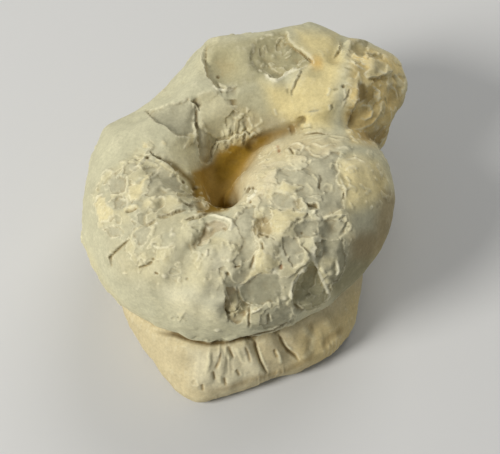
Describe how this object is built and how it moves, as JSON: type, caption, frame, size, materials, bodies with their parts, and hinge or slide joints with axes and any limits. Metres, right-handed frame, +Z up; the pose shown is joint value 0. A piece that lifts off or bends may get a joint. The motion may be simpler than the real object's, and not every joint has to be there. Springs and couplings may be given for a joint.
{
  "type": "ammonite fossil",
  "caption": "Fossil ammonite in pale limestone: a fat, tightly coiled whorl with a deep central hollow, lying on its worn flat lower side.",
  "frame": {"origin": "where the coil's axis meets the flat resting face", "axes": "+Z up along the coil's axis, out of the side with the hollow; -Y towards the ledge at the front; the broken mouth is at +X +Y"},
  "size_m": [0.0832, 0.0973, 0.049],
  "materials": {
    "limestone": "matt, grey-green to cream limestone with ochre in the hollow"
  },
  "bodies": {
    "root": {"ammonite": "limestone"}
  },
  "joints": []
}
